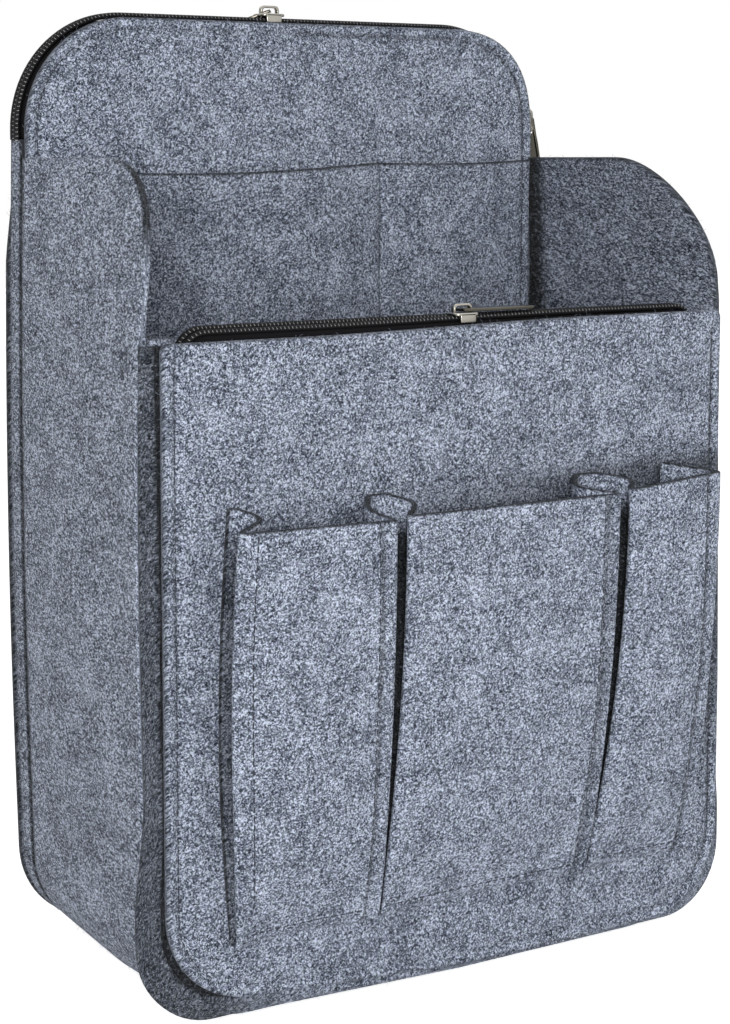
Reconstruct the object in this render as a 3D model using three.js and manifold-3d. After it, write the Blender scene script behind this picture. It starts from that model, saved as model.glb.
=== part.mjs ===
// Backpack organizer insert: a felt box with a zipped sleeve behind, a zipped pocket in front
// and three bellows pockets on its face. Millimetres, +Z up, front toward -Y.
import * as THREE from "three";
import { mergeVertices } from "three/addons/utils/BufferGeometryUtils.js";
import Module from "manifold-3d";

// Driving dimensions of the felt body
const FELT = 3.2; // thickness of the body felt
const POCKET_FELT = 2.4; // thickness of the bellows pockets' felt
const SEAM = 0.3; // clearance where two sewn pieces meet
const BACK_TOP = 362; // top edge of the divider and the back panel
const WALL_DROP = 54; // the side walls end this far below it
const FACE_DROP = 61; // the front panels end this far below the walls
const WALL_TOP = BACK_TOP - WALL_DROP;
const FACE_TOP = WALL_TOP - FACE_DROP;
const FACE_HALF = 125; // half width of the front outer panel
const FACE_LIFT = 12.5; // the front outer panel's lower edge above the floor
const WALL_FLARE = FACE_HALF + 4.6; // half width of the main gusset at its front edge
const WALL_BACK = FACE_HALF - 4.5; // half width of the main gusset at its back edge
const WALL_LEAD = 4; // the main gusset's front edge stands this far ahead of the inner panel
const LOWER_RADIUS = 34; // rounded lower corners of the body
const UPPER_RADIUS = 44; // rounded upper corners of the divider and the back panel
const WALL_RADIUS = 48; // rounded front upper corner of each side wall
const WALL_LEAN = 15; // how far the walls' front edges would lean in at the height of their tops
const FRONT_SPACE = 9; // depth of the zipped front pocket
const MAIN_SPACE = 102; // depth of the main compartment
const SLEEVE_SPACE = 10.6; // depth of the zipped sleeve
const SLEEVE_DROP = 3; // the sleeve's gusset ends this far below the rounded upper corners

// Driving dimensions of the pockets
const SLIP_TOP = WALL_TOP - 5; // top edge of the slip pocket on the divider
const SLIP_DEPTH = 193;
const SLIP_BOTTOM = SLIP_TOP - SLIP_DEPTH; // its lower seam
const SLIP_SPLIT = 0.31 * WALL_BACK; // the stitched line along X that splits it in two
const SLIP_MOUTH = 6.2; // how far its mouths stand off the divider
const POCKETS = [ // the bellows pockets: sewn lines, face edges and inner folds along X, as shares of FACE_HALF,
  // and how much lower than its sewn lines each face ends, as shares of POCKET_DROP
  { name: "pocket_left", seams: [-0.81, -0.346], face: [-0.846, -0.334], folds: [-0.728, -0.392], drops: [1, 1.2] },
  { name: "pocket_middle", seams: [-0.308, 0.428], face: [-0.292, 0.478], folds: [-0.216, 0.352], drops: [1, 1] },
  { name: "pocket_right", seams: [0.46, 0.912], face: [0.524, 0.878], folds: [0.588, 0.724], drops: [0.85, 0.25] },
];
const POCKET_GAP = 58.5; // from the front panel's top edge down to the bellows
const POCKET_TOP = FACE_TOP - POCKET_GAP; // top of the bellows at the sewn lines
const POCKET_DROP = 6;
const POCKET_LIFT = 19.5; // from the front panel's lower edge up to the bellows' lower seam
const POCKET_BOTTOM = FACE_LIFT + POCKET_LIFT;
const POCKET_DEPTH = 18; // how far the pocket mouths stand off the front panel
const PLEAT_FOOT = 4; // how far each pleat folds in behind its face at the lower seam

// Driving dimensions of the zips
const TAPE = 0.7; // thickness of the zip tape
const TAPE_LEG = 6; // the part of the tape sewn against the felt
const SLOT = 0.6; // half of the slot between the two coils, where the slider's web runs
const COIL_WIDTH = 2.4;
const COIL_HEIGHT = 2.4;
const COIL_LIFT = 0.3; // the coils lie this far above the tape
const COIL_PITCH = 3;
const TOOTH = 1; // how deep the teeth are cut
const FRONT_ZIP_INSET = 11; // from the front panel's side edges to the front zip's ends
const FRONT_ZIP_HALF = FACE_HALF - FRONT_ZIP_INSET;
const FRONT_ZIP_RADIUS = 9;
const FRONT_ZIP_RISE = 1.5; // the front zip lies this far above the felt's edge
const FRONT_ZIP_END = 8; // its ends are tucked this far below the felt's edge
const PLATE = 1.2; // slider plates and pull tabs
const SLIDER_LENGTH = 11;
const SLIDER_CLEAR = 0.5; // slider plates to coil and tape
const CROWN_OPENING = 2.8; // height of the opening under the slider's crown
const TAB_LENGTH = 33;
const TAB_WIDTH = 7;
const TAB_NECK = 10; // from the hinge to the tab's full width
const FRONT_SLIDER_X = 4;
const TOP_SLIDER_X = -8;
const SIDE_SLIDER_ANGLE = 7; // degrees up the right corner, from the end of its arc

// The stack of layers from front to back, before the object is centred
const faceBack = FELT;
const innerFront = faceBack + FRONT_SPACE;
const innerBack = innerFront + FELT;
const dividerFront = innerBack + MAIN_SPACE;
const dividerBack = dividerFront + FELT;
const backFront = dividerBack + SLEEVE_SPACE;
const backBack = backFront + FELT;
const mouthFront = -(SEAM + POCKET_DEPTH);
const CENTRE_Y = (mouthFront + backBack) / 2;

const wasm = await Module();
wasm.setup();

const felt = new THREE.MeshStandardMaterial({ name: "felt", color: 0x7f8796, roughness: 0.95, metalness: 0 });
const tape = new THREE.MeshStandardMaterial({ name: "zip_tape", color: 0x15161a, roughness: 0.8, metalness: 0 });
const coil = new THREE.MeshStandardMaterial({ name: "zip_coil", color: 0x1b1c20, roughness: 0.4, metalness: 0 });
const nickel = new THREE.MeshStandardMaterial({ name: "nickel", color: 0xb9b9bb, roughness: 0.28, metalness: 1 });

const group = new THREE.Group();
group.name = "backpack_organizer_insert";

// Adds one named piece, moved so that the body is centred front to back
function addPiece(name, geometry, material) {
  const placed = geometry.clone();
  placed.translate(0, -CENTRE_Y, 0);
  placed.computeVertexNormals();
  const mesh = new THREE.Mesh(placed, material);
  mesh.name = name;
  group.add(mesh);
}

// Solids joined and cut as manifolds
function toManifold(geometry) {
  const plain = new THREE.BufferGeometry();
  plain.setAttribute("position", geometry.getAttribute("position").clone());
  if (geometry.index) {
    plain.setIndex(geometry.index.clone());
  }
  const welded = mergeVertices(plain, 1e-4);
  return new wasm.Manifold(new wasm.Mesh({
    numProp: 3,
    vertProperties: new Float32Array(welded.attributes.position.array),
    triVerts: new Uint32Array(welded.index.array),
  }));
}

function fromManifold(solid) {
  const mesh = solid.getMesh();
  const geometry = new THREE.BufferGeometry();
  geometry.setAttribute("position", new THREE.BufferAttribute(new Float32Array(mesh.vertProperties), 3));
  geometry.setIndex(new THREE.BufferAttribute(new Uint32Array(mesh.triVerts), 1));
  return geometry;
}

// A flat piece cut to an outline in X and Z, standing from one depth to another
function upright(shape, front, back) {
  const geometry = new THREE.ExtrudeGeometry(shape, { depth: back - front, bevelEnabled: false, curveSegments: 9 });
  geometry.rotateX(Math.PI / 2);
  geometry.translate(0, back, 0);
  return geometry;
}

// The outline of a panel with rounded corners, narrower below a step where one is given
function panelOutline(half, bottom, top, lowerRadius, upperRadius, step = bottom, lowerHalf = half) {
  const shape = new THREE.Shape();
  shape.moveTo(-lowerHalf + lowerRadius, bottom);
  shape.lineTo(lowerHalf - lowerRadius, bottom);
  shape.absarc(lowerHalf - lowerRadius, bottom + lowerRadius, lowerRadius, -Math.PI / 2, 0, false);
  if (lowerHalf < half) {
    shape.lineTo(lowerHalf, step);
    shape.lineTo(half, step);
  }
  if (upperRadius > 0) {
    shape.absarc(half - upperRadius, top - upperRadius, upperRadius, 0, Math.PI / 2, false);
    shape.absarc(-half + upperRadius, top - upperRadius, upperRadius, Math.PI / 2, Math.PI, false);
  } else {
    shape.lineTo(half, top);
    shape.lineTo(-half, top);
  }
  if (lowerHalf < half) {
    shape.lineTo(-half, step);
    shape.lineTo(-lowerHalf, step);
  }
  shape.absarc(-lowerHalf + lowerRadius, bottom + lowerRadius, lowerRadius, Math.PI, 1.5 * Math.PI, false);
  return shape;
}

// A path up one side, round two corners and down the other; upside down it runs under the body.
// Each point carries the direction that faces out of the path and its distance along it.
function archPath(half, end, crest, radius, arcSteps, stops = []) {
  const sign = Math.sign(crest - end);
  const points = [];
  const push = (x, z, angle) => points.push({ x, z, nx: Math.cos(angle), nz: sign * Math.sin(angle) });
  const sides = [end, ...stops];
  for (const z of sides) {
    push(-half, z, Math.PI);
  }
  for (let i = 0; i <= arcSteps; i += 1) {
    const angle = Math.PI - (Math.PI / 2) * (i / arcSteps);
    push(-half + radius + radius * Math.cos(angle), crest - sign * radius * (1 - Math.sin(angle)), angle);
  }
  for (let i = 0; i <= arcSteps; i += 1) {
    const angle = (Math.PI / 2) * (1 - i / arcSteps);
    push(half - radius + radius * Math.cos(angle), crest - sign * radius * (1 - Math.sin(angle)), angle);
  }
  for (const z of sides.reverse()) {
    push(half, z, 0);
  }
  return measured(points);
}

function measured(points) {
  let along = 0;
  points.forEach((p, i) => {
    if (i > 0) {
      along += Math.hypot(p.x - points[i - 1].x, p.z - points[i - 1].z);
    }
    p.along = along;
  });
  return points;
}

// Points at even steps along a path, blended between its own points
function resampled(path, count) {
  const total = path[path.length - 1].along;
  const points = [];
  let k = 0;
  for (let i = 0; i <= count; i += 1) {
    const along = (total * i) / count;
    while (k < path.length - 2 && path[k + 1].along < along) {
      k += 1;
    }
    const a = path[k];
    const b = path[k + 1];
    const f = (along - a.along) / (b.along - a.along);
    const mix = (key) => a[key] + (b[key] - a[key]) * f;
    const length = Math.hypot(mix("nx"), mix("nz"));
    points.push({ x: mix("x"), z: mix("z"), nx: mix("nx") / length, nz: mix("nz") / length, along });
  }
  return points;
}

// A closed skin over rings of points, capped at both ends
function skin(rings, capOutline) {
  const count = rings[0].length;
  const positions = rings.flat(2);
  const index = [];
  for (let r = 0; r < rings.length - 1; r += 1) {
    for (let i = 0; i < count; i += 1) {
      const next = (i + 1) % count;
      const a = r * count + i;
      const b = r * count + next;
      const c = (r + 1) * count + next;
      const d = (r + 1) * count + i;
      index.push(a, b, c, a, c, d);
    }
  }
  for (const [r, turned] of [[0, false], [rings.length - 1, true]]) {
    const outline = capOutline(r).map(([u, v]) => new THREE.Vector2(u, v));
    const reversed = THREE.ShapeUtils.isClockWise(outline);
    const faces = THREE.ShapeUtils.triangulateShape(outline, []);
    for (const face of faces) {
      const [a, b, c] = face.map((i) => r * count + i);
      index.push(...(turned === reversed ? [a, c, b] : [a, b, c]));
    }
  }
  const geometry = new THREE.BufferGeometry();
  geometry.setAttribute("position", new THREE.BufferAttribute(new Float32Array(positions), 3));
  geometry.setIndex(index);
  return facingOut(geometry);
}

// Turns a closed mesh inside out where its volume comes out negative
function facingOut(geometry) {
  const p = geometry.attributes.position;
  const index = geometry.index.array;
  const corner = (i) => new THREE.Vector3().fromBufferAttribute(p, i);
  let volume = 0;
  for (let i = 0; i < index.length; i += 3) {
    volume += corner(index[i]).dot(corner(index[i + 1]).cross(corner(index[i + 2])));
  }
  if (volume < 0) {
    const turned = Array.from(index);
    for (let i = 0; i < turned.length; i += 3) {
      [turned[i + 1], turned[i + 2]] = [turned[i + 2], turned[i + 1]];
    }
    geometry.setIndex(turned);
  }
  return geometry;
}

// A strip run along a path; its section is given in the out direction and in depth
function strip(path, sectionAt) {
  const sections = path.map((p, i) => sectionAt(i, p));
  const rings = path.map((p, i) => sections[i].map(([out, y]) => [p.x + p.nx * out, y, p.z + p.nz * out]));
  return skin(rings, (r) => sections[r]);
}

// A felt gusset whose side walls flare outward toward the front while its bottom stays level.
// Above the front panels the walls' front edges stand free and may lean in.
function gusset(half, front, back, flare, bottom, top, lean = 0) {
  const stops = lean > 0 ? [0.2, 0.4, 0.6, 0.8, 1].map((share) => top + (FACE_TOP - top) * share) : [];
  const path = archPath(half, top, bottom, LOWER_RADIUS, 8, stops);
  return strip(path, (i, p) => {
    const free = Math.max(0, p.z - FACE_TOP) / (top - FACE_TOP);
    const out = flare * p.nx * p.nx - lean * free ** 2;
    return [[out, front], [0, back], [-FELT, back], [out - FELT, front]];
  });
}

// A folded sheet of felt: level by level, its centre line in plan is given the felt's thickness
function foldedSheet(levels, centreLine, thickness) {
  const rings = levels.map((level) => {
    const line = centreLine(level);
    const sides = line.map((p, i) => {
      const before = line[Math.max(i - 1, 0)];
      const after = line[Math.min(i + 1, line.length - 1)];
      const inward = new THREE.Vector2(p[0] - before[0], p[1] - before[1]).normalize();
      const onward = new THREE.Vector2(after[0] - p[0], after[1] - p[1]).normalize();
      if (i === 0) {
        inward.copy(onward);
      }
      if (i === line.length - 1) {
        onward.copy(inward);
      }
      const normal = new THREE.Vector2(-inward.y - onward.y, inward.x + onward.x).normalize();
      const reach = thickness / 2 / Math.max(normal.dot(new THREE.Vector2(-inward.y, inward.x)), 0.2);
      const turn = inward.cross(onward);
      const clamp = 0.8 * thickness;
      const left = turn < 0 ? Math.min(reach, clamp) : reach;
      const right = turn > 0 ? Math.min(reach, clamp) : reach;
      return [
        [p[0] + normal.x * left, p[1] + normal.y * left, p[2]],
        [p[0] - normal.x * right, p[1] - normal.y * right, p[2]],
      ];
    });
    return [...sides.map((s) => s[0]), ...sides.map((s) => s[1]).reverse()];
  });
  return skin(rings, (r) => rings[r].map(([x, y]) => [x, y]));
}

// Front panels, with the zipped pocket between them
addPiece("front_outer_panel",
  upright(panelOutline(FACE_HALF, FACE_LIFT, FACE_TOP, LOWER_RADIUS, 0), 0, faceBack), felt);
const innerHalf = WALL_FLARE - FELT - 2 * SEAM;
const innerRadius = LOWER_RADIUS + (WALL_FLARE - WALL_BACK) / 2 + 1;
addPiece("front_inner_panel",
  upright(panelOutline(innerHalf, FELT + SEAM, FACE_TOP, innerRadius, 0), innerFront, innerBack), felt);
const wallFront = innerFront - WALL_LEAD;
const tuck = 3; // the front gusset's edge is tucked this far inside the outer panel's edge
const stripHalf = FACE_HALF - tuck;
const stripFlare = WALL_FLARE - 0.5 - stripHalf;
const stripBottom = FACE_LIFT + tuck;
const stripCorner = 5.5; // how much farther it stands out at the middle of its lower corners
const stripPath = archPath(stripHalf, FACE_TOP - 2, stripBottom, LOWER_RADIUS - tuck, 8);
const frontStrip = strip(stripPath, (i, p) => {
  const corner = stripCorner * (2 * p.nx * p.nz) ** 2;
  const out = stripFlare + (stripBottom - 0.5 - stripFlare) * p.nz * p.nz + corner;
  const back = wallFront - SEAM;
  return [[0, faceBack + SEAM], [out, back], [out - FELT, back], [-FELT, faceBack + SEAM]];
});
addPiece("front_pocket_gusset", frontStrip, felt);

// Main gusset: the two side walls and the bottom in one strip, its front upper corners rounded
const wholeGusset = gusset(WALL_BACK, wallFront, dividerBack, WALL_FLARE - WALL_BACK, 0, WALL_TOP, WALL_LEAN);
const sideOutline = new THREE.Shape();
sideOutline.moveTo(wallFront - 1, -FACE_LIFT - WALL_FLARE);
sideOutline.lineTo(dividerBack + 1, -FACE_LIFT - WALL_FLARE);
sideOutline.lineTo(dividerBack + 1, WALL_TOP);
sideOutline.lineTo(wallFront + WALL_RADIUS, WALL_TOP);
sideOutline.absarc(wallFront + WALL_RADIUS, WALL_TOP - WALL_RADIUS, WALL_RADIUS, Math.PI / 2, Math.PI, false);
sideOutline.lineTo(wallFront - 1, WALL_TOP - WALL_RADIUS);
const cutReach = 1.1 * WALL_FLARE;
const sideCut = new THREE.ExtrudeGeometry(sideOutline, {
  depth: 2 * cutReach, bevelEnabled: false, curveSegments: 10,
});
sideCut.rotateX(Math.PI / 2);
sideCut.rotateZ(Math.PI / 2);
sideCut.translate(-cutReach, 0, 0);
addPiece("main_gusset", fromManifold(toManifold(wholeGusset).intersect(toManifold(sideCut))), felt);

// Divider with its slip pocket, sleeve gusset and back panel
const dividerLowerHalf = WALL_BACK - FELT - SEAM;
const zipHalf = WALL_BACK - 1.5;
const zipCrest = BACK_TOP - 0.5;
addPiece("divider_panel", upright(
  panelOutline(zipHalf + 0.5, FELT + SEAM, BACK_TOP, LOWER_RADIUS, UPPER_RADIUS, WALL_TOP + SEAM, dividerLowerHalf),
  dividerFront, dividerBack), felt);
addPiece("back_panel",
  upright(panelOutline(WALL_BACK, 0, BACK_TOP, LOWER_RADIUS, UPPER_RADIUS), backFront, backBack), felt);
const sleeveTop = BACK_TOP - UPPER_RADIUS - SLEEVE_DROP;
addPiece("sleeve_gusset",
  gusset(WALL_BACK, dividerBack + SEAM, backFront - SEAM, 0, 0, sleeveTop), felt);

// Slip pocket on the divider, sewn down at its sides and along one line between its two mouths
const slipHalf = dividerLowerHalf - 1.5;
const slipRest = SEAM + FELT / 2;
const slipSteps = 6;
const slipLine = (level) => {
  const points = [];
  for (const [from, to] of [[-slipHalf, SLIP_SPLIT], [SLIP_SPLIT, slipHalf]]) {
    for (let i = from === SLIP_SPLIT ? 1 : 0; i <= slipSteps; i += 1) {
      const belly = Math.sin((Math.PI * i) / slipSteps) ** 0.6 || 0;
      const stand = slipRest + SLIP_MOUTH * belly * level ** 0.7;
      const x = from + ((to - from) * i) / slipSteps;
      points.push([x, dividerFront - stand, SLIP_BOTTOM + (SLIP_TOP - SLIP_BOTTOM) * level]);
    }
  }
  return points;
};
addPiece("divider_pocket", foldedSheet([0, 0.15, 0.4, 0.7, 1], slipLine, FELT), felt);

// Bellows pockets: each is one sheet with a pleat down each side, flat at its lower seam
const pocketRest = SEAM + POCKET_FELT / 2;
const footDepth = pocketRest + 2 * (POCKET_FELT + 0.5);
const mouthDepth = SEAM + POCKET_DEPTH - POCKET_FELT / 2;
const faceSteps = [[0.2, 0], [0.36, 0.75], [0.5, 1], [0.64, 0.75], [0.8, 0]];
for (const pocket of POCKETS) {
  const seams = pocket.seams.map((share) => share * FACE_HALF);
  const faceEdges = pocket.face.map((share) => share * FACE_HALF);
  const line = (level) => {
    const open = 1 - (1 - level) ** 2;
    const depth = footDepth + (mouthDepth - footDepth) * open;
    const sag = (footDepth - pocketRest) * Math.max(0, 1 - level / 0.3) ** 2;
    const height = (drop) => POCKET_BOTTOM + (POCKET_TOP - drop - POCKET_BOTTOM) * level;
    const edges = seams.map((seam, i) => seam + (faceEdges[i] - seam) * open);
    const folds = seams.map((seam, i) => {
      const foot = seam + (i === 0 ? PLEAT_FOOT : -PLEAT_FOOT);
      return foot + (pocket.folds[i] * FACE_HALF - foot) * open;
    });
    const drops = pocket.drops.map((share) => share * POCKET_DROP);
    const middle = -(pocketRest + depth) / 2;
    const face = faceSteps.map(([f, s]) => [
      edges[0] + (edges[1] - edges[0]) * f, -depth + sag * s, height(drops[0] + (drops[1] - drops[0]) * f),
    ]);
    return [
      [seams[0], -pocketRest, height(0)],
      [folds[0], middle, height(drops[0] / 2)],
      [edges[0], -depth, height(drops[0])],
      ...face,
      [edges[1], -depth, height(drops[1])],
      [folds[1], middle, height(drops[1] / 2)],
      [seams[1], -pocketRest, height(0)],
    ];
  };
  addPiece(pocket.name, foldedSheet([0, 0.05, 0.13, 0.22, 0.35, 0.55, 0.78, 1], line, POCKET_FELT), felt);
}

// A zip along a path: two tapes bent down against the felt, and two toothed coils on them
function zip(path, front, back, names) {
  const middle = (front + back) / 2;
  const reach = (back - front) / 2 - SEAM / 2;
  const edge = SLOT + 0.4;
  const teeth = Math.round(path[path.length - 1].along / COIL_PITCH);
  const fine = resampled(path, 2 * teeth);
  [-1, 1].forEach((side, k) => {
    const at = (distance) => middle + side * distance;
    addPiece(names[k], strip(path, () => [
      [0, at(edge)], [0, at(reach)], [-TAPE_LEG, at(reach)],
      [-TAPE_LEG, at(reach - TAPE)], [-TAPE, at(reach - TAPE)], [-TAPE, at(edge)],
    ]), tape);
    addPiece(names[k + 2], strip(fine, (i) => {
      const cut = (i + k) % 2 === 0 ? 0 : TOOTH;
      const low = COIL_LIFT;
      const high = low + COIL_HEIGHT;
      const far = SLOT + COIL_WIDTH;
      return [[low, at(SLOT + cut)], [high, at(SLOT + cut)], [high, at(far)], [low, at(far)]];
    }), coil);
  });
}
const frontPath = archPath(FRONT_ZIP_HALF, FACE_TOP - FRONT_ZIP_END, FACE_TOP + FRONT_ZIP_RISE, FRONT_ZIP_RADIUS, 6);
zip(frontPath, faceBack, innerFront,
  ["front_zip_tape_outer", "front_zip_tape_inner", "front_zip_coil_outer", "front_zip_coil_inner"]);
const topPath = archPath(zipHalf, sleeveTop + 2, zipCrest, UPPER_RADIUS - 1, 12);
zip(topPath, dividerBack, backFront,
  ["top_zip_tape_front", "top_zip_tape_back", "top_zip_coil_front", "top_zip_coil_back"]);

// Slider: two plates joined by a thin web that runs in the slot, with a crown for the pull tab.
// Its own X runs along the zip and its own Z out of it.
const upperPlate = COIL_LIFT + COIL_HEIGHT + SLIDER_CLEAR;
const plateTop = upperPlate + PLATE;
const lowerPlate = -TAPE - SLIDER_CLEAR - PLATE;
const plateHalf = SLOT + COIL_WIDTH + SLIDER_CLEAR + 1;
const hingeHeight = plateTop + CROWN_OPENING / 2;

function plateOutline(halfWidth) {
  const end = SLIDER_LENGTH / 2;
  const shape = new THREE.Shape();
  shape.moveTo(-end, -0.75 * halfWidth);
  shape.lineTo(-end + 2, -halfWidth);
  shape.lineTo(end - 2, -halfWidth);
  shape.lineTo(end, -0.6 * halfWidth);
  shape.lineTo(end, 0.6 * halfWidth);
  shape.lineTo(end - 2, halfWidth);
  shape.lineTo(-end + 2, halfWidth);
  shape.lineTo(-end, 0.75 * halfWidth);
  return shape;
}

function block(x0, x1, y0, y1, z0, z1) {
  const geometry = new THREE.BoxGeometry(x1 - x0, y1 - y0, z1 - z0);
  geometry.translate((x0 + x1) / 2, (y0 + y1) / 2, (z0 + z1) / 2);
  return geometry;
}

function sliderBody() {
  const flat = { depth: PLATE, bevelEnabled: false };
  const top = new THREE.ExtrudeGeometry(plateOutline(plateHalf), flat);
  top.translate(0, 0, upperPlate);
  const bottom = new THREE.ExtrudeGeometry(plateOutline(SLOT + COIL_WIDTH + 0.2), flat);
  bottom.translate(0, 0, lowerPlate);
  const web = block(0.5, 4, -SLOT / 2, SLOT / 2, lowerPlate + 0.2, plateTop - 0.2);
  const lipEnd = SLIDER_LENGTH / 2 - 2;
  const lips = [-1, 1].map((side) => {
    const near = side * (plateHalf - 1);
    const far = side * plateHalf;
    return block(-lipEnd, lipEnd, Math.min(near, far), Math.max(near, far), SLIDER_CLEAR, plateTop - 0.2);
  });
  const arch = new THREE.Shape();
  const rise = CROWN_OPENING + PLATE;
  arch.moveTo(-4.3, -0.2);
  arch.lineTo(-3.1, -0.2);
  arch.lineTo(-3.1, CROWN_OPENING - 0.8);
  arch.lineTo(-2.3, CROWN_OPENING);
  arch.lineTo(2.3, CROWN_OPENING);
  arch.lineTo(3.1, CROWN_OPENING - 0.8);
  arch.lineTo(3.1, -0.2);
  arch.lineTo(4.3, -0.2);
  arch.lineTo(4.3, rise - 1.4);
  arch.lineTo(2.9, rise);
  arch.lineTo(-2.9, rise);
  arch.lineTo(-4.3, rise - 1.4);
  const crown = new THREE.ExtrudeGeometry(arch, { depth: 2, bevelEnabled: false });
  crown.rotateX(Math.PI / 2);
  crown.translate(0, 1, plateTop);
  return [bottom, web, ...lips, crown].reduce(
    (body, piece) => body.add(toManifold(piece)), toManifold(top));
}

// Pull tab, lying along its own +X from the hinge line through its end bar
function pullTab() {
  const eyeHalf = 3.2;
  const half = TAB_WIDTH / 2;
  const outline = new THREE.Shape();
  outline.moveTo(-0.2, -eyeHalf);
  outline.lineTo(7, -eyeHalf);
  outline.lineTo(TAB_NECK, -half);
  outline.lineTo(TAB_LENGTH - half, -half);
  outline.absarc(TAB_LENGTH - half, 0, half, -Math.PI / 2, Math.PI / 2, false);
  outline.lineTo(TAB_NECK, half);
  outline.lineTo(7, eyeHalf);
  outline.lineTo(-0.2, eyeHalf);
  outline.lineTo(-0.8, eyeHalf - 0.6);
  outline.lineTo(-0.8, 0.6 - eyeHalf);
  const eye = new THREE.Path();
  eye.moveTo(0.8, -1.7);
  eye.lineTo(0.8, 1.7);
  eye.lineTo(6.2, 1.7);
  eye.lineTo(6.2, -1.7);
  outline.holes.push(eye);
  const geometry = new THREE.ExtrudeGeometry(outline, { depth: PLATE, bevelEnabled: false, curveSegments: 6 });
  geometry.translate(0, 0, hingeHeight - PLATE / 2);
  return geometry;
}

// Places a slider and its tab on a zip: where, which way its tab lies and which way faces out
function placeSlider(name, point, along, out) {
  const across = new THREE.Vector3().crossVectors(out, along);
  const frame = new THREE.Matrix4().makeBasis(along, across, out).setPosition(point);
  addPiece(`${name}_slider`, fromManifold(sliderBody()).applyMatrix4(frame), nickel);
  addPiece(`${name}_pull`, pullTab().applyMatrix4(frame), nickel);
}
const frontMiddle = (faceBack + innerFront) / 2;
const topMiddle = (dividerBack + backFront) / 2;
const upward = new THREE.Vector3(0, 0, 1);
placeSlider("front", new THREE.Vector3(FRONT_SLIDER_X, frontMiddle, FACE_TOP + FRONT_ZIP_RISE),
  new THREE.Vector3(1, 0, 0), upward);
placeSlider("top", new THREE.Vector3(TOP_SLIDER_X, topMiddle, zipCrest), new THREE.Vector3(-1, 0, 0), upward);
const tilt = THREE.MathUtils.degToRad(SIDE_SLIDER_ANGLE);
const zipRadius = UPPER_RADIUS - 1;
const sideOut = new THREE.Vector3(Math.cos(tilt), 0, Math.sin(tilt));
const sidePoint = new THREE.Vector3(zipHalf - zipRadius, topMiddle, zipCrest - zipRadius)
  .addScaledVector(sideOut, zipRadius);
placeSlider("side", sidePoint, new THREE.Vector3(Math.sin(tilt), 0, -Math.cos(tilt)), sideOut);

export default group;
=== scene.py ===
import math

import bmesh
import bpy
import numpy as np
from mathutils import Matrix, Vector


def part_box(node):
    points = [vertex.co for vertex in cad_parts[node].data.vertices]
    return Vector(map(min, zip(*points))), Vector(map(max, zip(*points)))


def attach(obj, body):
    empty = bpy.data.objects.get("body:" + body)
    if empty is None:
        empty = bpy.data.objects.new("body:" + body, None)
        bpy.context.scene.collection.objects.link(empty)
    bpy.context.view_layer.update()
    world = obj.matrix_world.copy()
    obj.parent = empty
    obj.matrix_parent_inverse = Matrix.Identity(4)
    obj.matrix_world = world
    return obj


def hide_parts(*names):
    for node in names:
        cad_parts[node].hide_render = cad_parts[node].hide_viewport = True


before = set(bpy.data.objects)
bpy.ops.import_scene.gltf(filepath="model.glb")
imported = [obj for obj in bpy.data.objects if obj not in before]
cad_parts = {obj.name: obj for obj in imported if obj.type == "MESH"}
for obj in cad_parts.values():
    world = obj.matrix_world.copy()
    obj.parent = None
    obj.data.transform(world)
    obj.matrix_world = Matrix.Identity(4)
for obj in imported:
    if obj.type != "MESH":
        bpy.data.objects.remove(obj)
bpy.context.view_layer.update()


# Camera: the photograph's view, from the front left and a little below the top edge.
# The lens and the small shift come from fitting the panels' corners.
def linked(name, data):
    """A new object, linked to the scene."""
    item = bpy.data.objects.new(name, data)
    bpy.context.scene.collection.objects.link(item)
    return item


looks_down, looks_right = 6.35, 33.16
camera_data = bpy.data.cameras.new("camera")
camera_data.lens = 78.6
camera_data.sensor_width = 36
camera_data.shift_y = -0.109
camera_data.clip_end = 20
camera = linked("camera", camera_data)
camera.location = (-0.477, -0.7211, 0.3104)
camera.rotation_euler = (math.radians(90 - looks_down), 0, math.radians(-looks_right))
bpy.context.scene.camera = camera
bpy.context.scene.view_settings.view_transform = "Standard"


# Studio: a pale floor, a white surround and two large soft lights.
# The surround is white to the camera and to reflections, and dimmer as a light.
class Wire:
    """A node socket that adds and multiplies like a number."""

    def __init__(self, tree, socket=None):
        self.tree = tree
        self.socket = socket

    def make(self, kind, values=None, out=0, stops=(), **settings):
        """A new node of this kind, with its settings, a ramp's stops and its inputs' values or wires."""
        node = self.tree.nodes.new(kind)
        for key, value in settings.items():
            setattr(node, key, value)
        for position, _ in stops[1:-1]:
            node.color_ramp.elements.new(position)
        for k, (position, colour) in enumerate(stops):
            node.color_ramp.elements[k].position = position
            node.color_ramp.elements[k].color = colour
        for key, value in (values or {}).items():
            if isinstance(value, Wire):
                value.feed(node.inputs[key])
            else:
                node.inputs[key].default_value = value
        return Wire(self.tree, node.outputs[out])

    def output(self, key):
        """Another output of the same node."""
        return Wire(self.tree, self.socket.node.outputs[key])

    def feed(self, socket):
        """Link this wire to the input of a node."""
        self.tree.links.new(self.socket, socket)

    def math(self, operation, *others):
        return self.make("ShaderNodeMath", dict(enumerate([self, *others])), operation=operation)

    def __add__(self, other):
        return self.math("ADD", other)

    def __mul__(self, other):
        return self.math("MULTIPLY", other)

    def __sub__(self, other):
        return self.math("SUBTRACT", other)

    def __rsub__(self, other):
        return (self * -1) + other

    __radd__ = __add__
    __rmul__ = __mul__

    def ramp(self, low, high):
        """0 below one value, 1 above another, and a smooth rise between."""
        values = {"Value": self, "From Min": low, "From Max": high}
        return self.make("ShaderNodeMapRange", values, interpolation_type="SMOOTHSTEP")


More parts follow.
